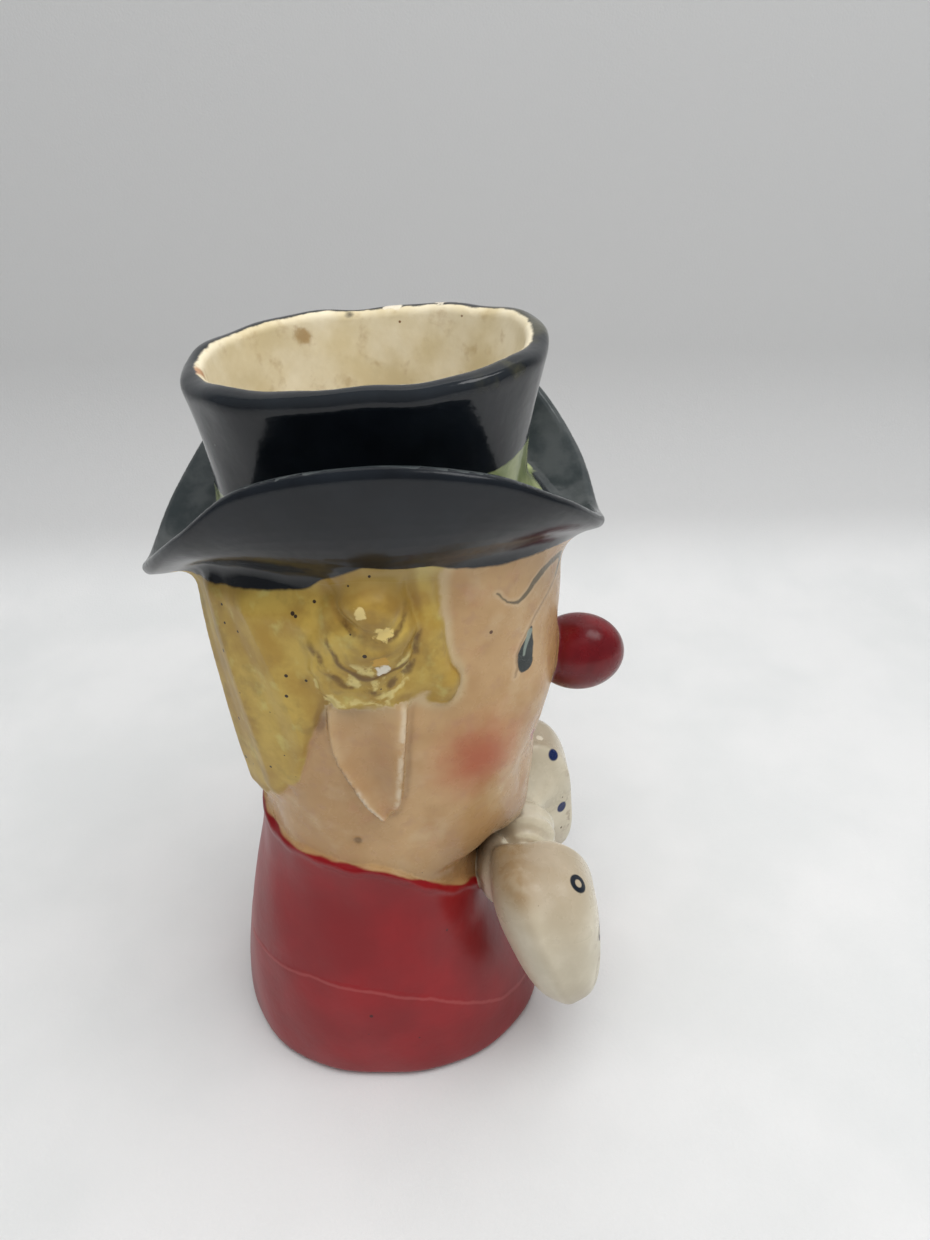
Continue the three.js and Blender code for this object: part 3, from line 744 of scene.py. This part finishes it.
class Glaze(Paint):
    """The vase's glaze, region by region. Every method returns a colour or a mask."""

    def __init__(self):
        super().__init__("glazed_ceramic")
        self.x, self.y, self.z = self.node("SeparateXYZ", {0: self.place}).outputs
        self.turn = self.math("ARCTAN2", self.math("ABSOLUTE", self.x), self.math("MULTIPLY", self.y, -1.0))
        self.across = self.math("MULTIPLY", self.turn, FACE_RADIUS)
        self.wrapped = self.node("CombineXYZ", {0: self.across, 1: self.z, 2: 0.0}).outputs[0]
        # Painted lines follow places that shake a little, as a brush does.
        waver = self.node("TexNoise", {"Vector": self.place, "Scale": 0.35}).outputs["Color"]
        shake = self.vector("MULTIPLY_ADD", waver, (HAND_SHAKE, HAND_SHAKE, 0.0),
                            (-HAND_SHAKE / 2, -HAND_SHAKE / 2, 0.0)).outputs[0]
        self.hand = self.vector("ADD", self.wrapped, shake).outputs[0]
        self.mirrored = self.vector("MULTIPLY", self.place, (1, -1, 1)).outputs[0]
        self.hollowed, self.exposed = self.value("hollowed"), self.value("exposed")

    def stroke(self, points):
        return self.line(self.hand, on_face(points))

    def skin(self):
        """Aged flesh paint with a rosy cheek, painted shade under the jaw, in the hollows, the dimple and the
        ear, and a pale ear rim that is partly wear and partly painted highlight.
        """
        skin = self.mix(self.mottle(14, 3, 0.35, 0.65), "c19866", "d2ab79")
        skin = self.mix(self.mottle(3.2, 4, 0.52, 0.72, 0, 0.4, 31), skin, "bb9070")
        skin = self.mix(self.mottle(9, 3, 0.5, 0.72, 0, 0.45, 101), skin, "dfc49a")
        skin = self.mix(self.mottle(7, 3, 0.55, 0.75, 0, 0.3, 111), skin, "c98a68")
        # Painted shade under the jaw at the front of the throat.
        under_jaw_shade = self.product(self.ramp(self.z, 68, 56), self.ramp(self.y, -4, -15), 0.45)
        skin = self.mix(under_jaw_shade, skin, "96693f")
        # Darker and yellower towards the collar: partly the neck's own tone, partly painted shade under the
        # jaw.
        skin = self.mix(self.ramp(self.z, 61, 52, 0, 0.5), skin, "a98350")
        cheek = self.far(self.wrapped, (*on_face([BLUSH])[0], 0))
        blush = self.math("ADD", cheek, self.math("MULTIPLY_ADD", self.noise(5, shift=7), 6.0, -3.0))
        skin = self.mix(self.ramp(blush, BLUSH_REACH, 0.0, 0, 0.85), skin, "b4502c")
        ear = self.value("ear")
        # Painted shade in the hollow of the ear.
        skin = self.mix(self.ramp(ear, 0.4, 2.4, 0, 0.3), skin, "a97b50")
        # A pale rim on the ear's front and lower part: partly worn glaze, partly painted highlight where the
        # rim faces the light.
        edge = self.product(self.ramp(ear, -0.3, 0.3), self.ramp(ear, 1.5, 0.5))
        worn_and_lit_side = self.math("MAXIMUM", self.ramp(self.y, -1.0, -3.0), self.ramp(self.z, 86, 78))
        edge = self.product(edge, worn_and_lit_side, self.mottle(3, 3, 0.35, 0.6, 0, 0.7, 81))
        skin = self.mix(edge, skin, "ecd9bb")
        # Painted shade in the hollows.
        skin = self.mix(self.ramp(self.hollowed, 0.25, 1.3, 0, 0.6), skin, "86603c")
        # Painted shade in the dimple.
        dimple = self.far(self.wrapped, (*on_face([DIMPLE[:2]])[0], 0))
        skin = self.mix(self.ramp(dimple, 1.3, 0.5, 0, 0.6), skin, "6e553c")
        skin = self.mix(self.specks(5.5, 0.45, 0.3, 3), skin, "6a4a36")
        near_hair = self.ramp(self.value("hair"), -2.6, -0.6)
        near_hair = self.product(near_hair, self.ramp(self.z, 92, 98, 0, 0.45))
        return self.mix(near_hair, skin, "e3d3a6")

    def hair(self):
        """Ochre hair: painted highlight in lemon on the ridges, pale drop bottoms that are painted highlight
        and thinner glaze, and painted shade in brown in the grooves and under each drop.
        """
        hair = self.mix(self.mottle(8, 4, 0.35, 0.68, shift=11), "b89340", "d0b055")
        hair = self.mix(self.mottle(4, 3, 0.55, 0.75, 0, 0.5, 51), hair, "d9cf7c")
        hair = self.mix(self.mottle(5, 4, 0.5, 0.7, 0, 0.4, 121), hair, "94763a")
        deep = self.ramp(self.value("lock"), 0.3, 2.5)
        deep = self.product(deep, self.mottle(5, 3, 0.35, 0.6, shift=151), 0.45)
        hair = self.mix(deep, hair, "8d6a2e")
        tuft = self.product(self.ramp(self.z, 119, 124.5), self.ramp(self.turn, 1.75, 1.4), 0.6)
        hair = self.mix(tuft, hair, "cfc88c")
        # Painted highlight on the ridges.
        hair = self.mix(self.ramp(self.exposed, 0.05, 0.3, 0, 0.2), hair, "e3cf7a")
        # Painted shade in the grooves.
        hair = self.mix(self.ramp(self.hollowed, 0.15, 1.0, 0, 0.6), hair, "9a7434")
        # Pale drop bottoms: painted highlight where they bulge, and thinner glaze there.
        lit_and_thin_tip = self.product(self.value("tip"), self.mottle(2.6, 4, 0.42, 0.62, shift=61))
        hair = self.mix(self.ramp(lit_and_thin_tip, 0.1, 0.9, 0, 0.8), hair, "ecd98e")
        # Painted shade under the bottom edge of each drop.
        drop_shade = self.product(self.value("drop_shade"), self.mottle(3.1, 4, 0.3, 0.6, 0.3, 1, 71))
        hair = self.mix(self.ramp(drop_shade, 0.2, 0.95, 0, 0.85), hair, "6f4f22")
        return self.mix(self.specks(2.8, 0.42, 0.4, 9), hair, "3a2a1a")

    def draw_face(self, body):
        """The brow, the eye and the mouth, over the skin."""
        far_turn, near_turn, thin, thick = BROW_THICK
        (start, _), (end, _) = on_face([(far_turn, 0), (near_turn, 0)])
        beside = self.math("SUBTRACT", self.stroke(BROW), self.ramp(self.across, start, end, thin, thick))
        # A pale painted highlight beside the incised brow line.
        body = self.mix(self.ramp(beside, 0.9, 0.4, 0, 0.35), body, "e4c8a2")
        body = self.mix(self.ramp(beside, 0.28, -0.1, 0, 0.85), body, "57503a")
        lid = self.stroke(LID)
        # The eyelid fold is only painted: a pale painted highlight beside it and a darker brown line along
        # it.
        body = self.mix(self.ramp(lid, 1.3, 0.5, 0, 0.35), body, "e4c8a2")
        body = self.mix(self.ramp(lid, 0.5, 0.05, 0, 0.55), body, "8b6a48")
        eye = self.math("SUBTRACT", self.stroke(EYE), self.ramp(self.z, 105.5, 101.0, 0.3, 1.75))
        body = self.mix(self.ramp(eye, 0.2, -0.15), body, "1c2624")
        glint = self.math("SUBTRACT", self.stroke(GLINT), self.ramp(self.z, 104.8, 100.6, 0.6, 0.2))
        body = self.mix(self.ramp(glint, 0.25, -0.1, 0, 0.9), body, "93a093")
        return self.mix(self.ramp(self.stroke(MOUTH), 1.2, 0.4, 0, 0.85), body, "a8403a")

    def shirt(self):
        red = self.mix(self.mottle(16, 4, shift=3), "860a12", "990f17")
        # Painted highlight on raised edges.
        red = self.mix(self.ramp(self.exposed, 0.25, 0.6, 0, 0.25), red, "b9544c")
        # A pale painted highlight along the shoulder ridge.
        shoulder = self.stroke(SHOULDER_LINE.tolist())
        red = self.mix(self.ramp(shoulder, 0.55, 0.1, 0, 0.4), red, "b85a58")
        return self.mix(self.specks(7, 0.5, 0.3, 5), red, "4a0a10")

    def bow(self):
        """Cream cloth with blue dots and rings, painted shade in its hollows, a painted shadow of the chin on
        its top and brown wear at the front.
        """
        cloth = self.mix(self.mottle(7, 4, shift=17), "d9cfb6", "e8dfc8")
        # Painted shade in the hollows.
        cloth = self.mix(self.ramp(self.hollowed, 0.2, 1.1, 0, 0.65), cloth, "927a5c")
        for dot in on_surface(DOTS):
            cloth = self.mix(self.ramp(self.far(self.mirrored, dot), *DOT_EDGE), cloth, "1a2a5c")
        for ring in on_surface(RINGS):
            off = self.math("ABSOLUTE", self.math("SUBTRACT", self.far(self.mirrored, ring), RING_RADIUS))
            cloth = self.mix(self.ramp(off, *RING_EDGE), cloth, "121b26")
        # Painted shadow of the chin on the top of the loops.
        chin_shadow = self.product(self.ramp(self.z, 47.5, 51.0), self.ramp(self.y, -32, -26),
                             self.mottle(4, 3, 0.3, 0.6, 0.3, 0.75, 91))
        cloth = self.mix(chin_shadow, cloth, "94774f")
        worn = self.product(self.ramp(self.y, -40.5, -43.5), self.mottle(2.2, 5, 0.5, 0.64, shift=131), 0.5)
        cloth = self.mix(worn, cloth, "8d7452")
        return self.mix(self.specks(4.0, 0.35, 0.3, 15), cloth, "77664a")

    def hat(self):
        """Black glaze, lighter on its edges where it is partly worn and partly painted highlight, slate in
        the brim's trough, worn olive at the front of the lip, and a sage band.
        """
        black = self.mix(self.mottle(12, 4, shift=5), "0d1116", "171c22")
        # Lighter on the edges: partly worn glaze, partly painted highlight.
        black = self.mix(self.ramp(self.exposed, 0.25, 0.6, 0, 0.35), black, "3d4144")
        olive = self.product(self.inside("lip", 0.5), self.mottle(9, 4, 0.45, 0.62, 0, 0.55, 141),
                             self.ramp(self.y, -14, -24), self.ramp(self.exposed, 0.1, 0.4))
        black = self.mix(olive, black, "5b583f")
        black = self.mix(self.specks(5.0, 0.3, 0.3, 21), black, "8b8f8a")
        slate = self.mix(self.mottle(6, 4, shift=19), "33393a", "4b4f4f")
        black = self.mix(self.inside("trough", 0.5, 0.3, 4), black, slate)
        sage = self.mix(self.mottle(5, 3, shift=13), "8e9a66", "b2ba84")
        return self.mix(self.inside("band", 0.25, 0.5, 3), black, sage)

    def clay(self):
        """The inside: cream glaze with brown grime, a stain and a drip."""
        clay = self.mix(self.mottle(10, 5, 0.3, 0.7, shift=2), "d8c8a0", "efe4c8")
        clay = self.mix(self.mottle(4, 4, 0.55, 0.75, 0, 0.5, 43), clay, "b59a6c")
        clay = self.mix(self.specks(4.5, 0.6, 0.35, 1), clay, "7a5532")
        for *place, size, tint in STAINS:
            ragged = self.math("MULTIPLY_ADD", self.noise(2.0, 4, shift=39), 1.4 * size, -0.7 * size)
            edge = self.math("ADD", self.far(self.mirrored, place), ragged)
            clay = self.mix(self.ramp(edge, size, 0.3 * size, 0, 0.8), clay, tint)
        return clay

    # Chips, and painted highlights on the hair locks.
    def chips_and_highlights(self, body):
        for *place, size, tint in CHIPS_AND_HIGHLIGHTS:
            ragged = self.math("MULTIPLY_ADD", self.noise(1.1, 3, shift=37), 1.8 * size, -0.9 * size)
            edge = self.math("ADD", self.far(self.mirrored, on_surface([place])[0]), ragged)
            body = self.mix(self.ramp(edge, size, 0.7 * size), body, tint)
        return body

    def finish(self):
        """Lays the regions over each other and sets how glossy each is."""
        hair_edge, hat_edge = self.inside("hair", 0.6, 1.0, 3), self.inside("hat", 0.3, 0.5, 4)
        inner, foot = self.inside("inner", 0.3, 0.5, 2), self.ramp(self.z, 0.6, 0.15)
        nose = self.mix(self.mottle(6, 3, shift=23), "650d14", "761219")
        body = self.draw_face(self.mix(hair_edge, self.skin(), self.hair()))
        body = self.mix(self.inside("collar", 0.25, 0.35, 7), body, self.shirt())
        body = self.mix(self.inside("bow", 0.2, 0.2, 2), body, self.bow())
        body = self.mix(self.inside("nose", 0.2, 0.25, 2), body, nose)
        body = self.mix(hat_edge, body, self.hat())
        body = self.chips_and_highlights(self.mix(inner, body, self.clay()))
        body = self.mix(foot, body, "c9b290")

        rough = self.number(self.mottle(5, 4, shift=41), 0.22, 0.36)
        rough = self.number(hair_edge, rough, 0.42)
        rough = self.number(self.inside("collar", 0.3), rough, 0.34)
        rough = self.number(hat_edge, rough, self.mottle(9, 3, start=0.08, end=0.16, shift=47))
        rough = self.number(self.inside("under", 0.5), rough, 0.24)
        rough = self.number(inner, rough, 0.42)
        rough = self.number(foot, rough, 0.8)
        waves = self.math("MULTIPLY", self.noise(6), 0.25)
        grain = self.math("MULTIPLY_ADD", self.noise(1.6, 4, shift=3), 0.05, waves)
        bump = self.node("Bump", {"Strength": 0.5, "Distance": MM, "Height": grain})
        shader = self.node("BsdfPrincipled", {
            "Base Color": body, "Roughness": rough, "Normal": bump.outputs[0], "IOR": GLAZE_IOR,
        })
        self.node("OutputMaterial", {0: shader.outputs[0]})
        return self.material


def backdrop():
    """A pale paper sweep: flat under the vase, then curving up behind it."""
    paint = Paint("paper")
    tone = paint.mix(paint.mottle(60, 3, 0.35, 0.65), "dddedd", "e4e4e3")
    height = paint.node("SeparateXYZ", {0: paint.place}).outputs[2]
    # Darker up the curve and wall: painted shade where less light falls on the paper.
    tone = paint.mix(paint.ramp(height, 0.5, 22), tone, "c9c9c8")
    grain = paint.node("Bump", {"Strength": 0.1, "Distance": MM, "Height": paint.noise(0.8)})
    shader = paint.node("BsdfPrincipled", {"Base Color": tone, "Roughness": 0.7, "Normal": grain.outputs[0]})
    paint.node("OutputMaterial", {0: shader.outputs[0]})
    rows = [(PAPER_NEAR, 0.0), (FLOOR_END, 0.0)]
    for i in range(1, SWEEP_STEPS + 1):
        a = math.radians(90 * i / SWEEP_STEPS)
        rows.append((FLOOR_END + SWEEP_RADIUS * math.sin(a), SWEEP_RADIUS * (1 - math.cos(a))))
    rows.append((FLOOR_END + SWEEP_RADIUS, PAPER_TOP))
    points = [(x, y, z) for x, z in rows for y in (-PAPER_SIDE, PAPER_SIDE)]
    faces = [(2 * i, 2 * i + 1, 2 * i + 3, 2 * i + 2) for i in range(len(rows) - 1)]
    mesh = bpy.data.meshes.new("paper_sweep")
    mesh.from_pydata(points, [], faces)
    mesh.polygons.foreach_set("use_smooth", [True] * len(faces))
    mesh.materials.append(paint.material)
    ob = bpy.data.objects.new("paper_sweep", mesh)
    bpy.context.collection.objects.link(ob)
    return ob


def softbox(name, place, target, size, power):
    lamp = bpy.data.lights.new(name, "AREA")
    lamp.shape = "RECTANGLE"
    lamp.size, lamp.size_y = size
    lamp.energy = power
    ob = bpy.data.objects.new(name, lamp)
    ob.location = place
    ob.rotation_euler = (Vector(target) - Vector(place)).to_track_quat("-Z", "Y").to_euler()
    bpy.context.collection.objects.link(ob)
    return ob


def photo_camera():
    down, aside = math.radians(CAMERA_DOWN), math.radians(CAMERA_ASIDE)
    level = math.cos(down)
    look = Vector((level * math.cos(aside), -level * math.sin(aside), -math.sin(down)))
    lens = bpy.data.cameras.new("photo_camera")
    lens.sensor_width = SENSOR
    lens.lens = FOCAL_LENGTH * SENSOR / PHOTO_HEIGHT
    lens.clip_start = 0.01
    ob = bpy.data.objects.new("photo_camera", lens)
    ob.location = CAMERA_PLACE
    ob.rotation_euler = look.to_track_quat("-Z", "Y").to_euler()
    bpy.context.collection.objects.link(ob)
    bpy.context.scene.camera = ob


def light():
    """A dim sky, a broad soft box overhead and a small one that leaves the window's highlights."""
    world = bpy.data.worlds.new("studio")
    world.use_nodes = True
    sky = world.node_tree.nodes["Background"]
    sky.inputs["Color"].default_value = colour("cfd3da")
    sky.inputs["Strength"].default_value = 0.34
    bpy.context.scene.world = world
    softbox("overhead", (-0.22, -0.05, 0.85), (-0.05, 0, 0.0), (0.8, 0.8), 7.0).visible_glossy = False
    softbox("window", (-0.07, -0.42, 0.75), (0, 0, 0.08), (0.3, 0.3), 0.9)
    bpy.context.scene.view_settings.view_transform = "Standard"


vase = build_vase()
vase.data.materials.append(Glaze().finish())
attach(vase, "root")
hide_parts("head_vase")
backdrop()
photo_camera()
light()
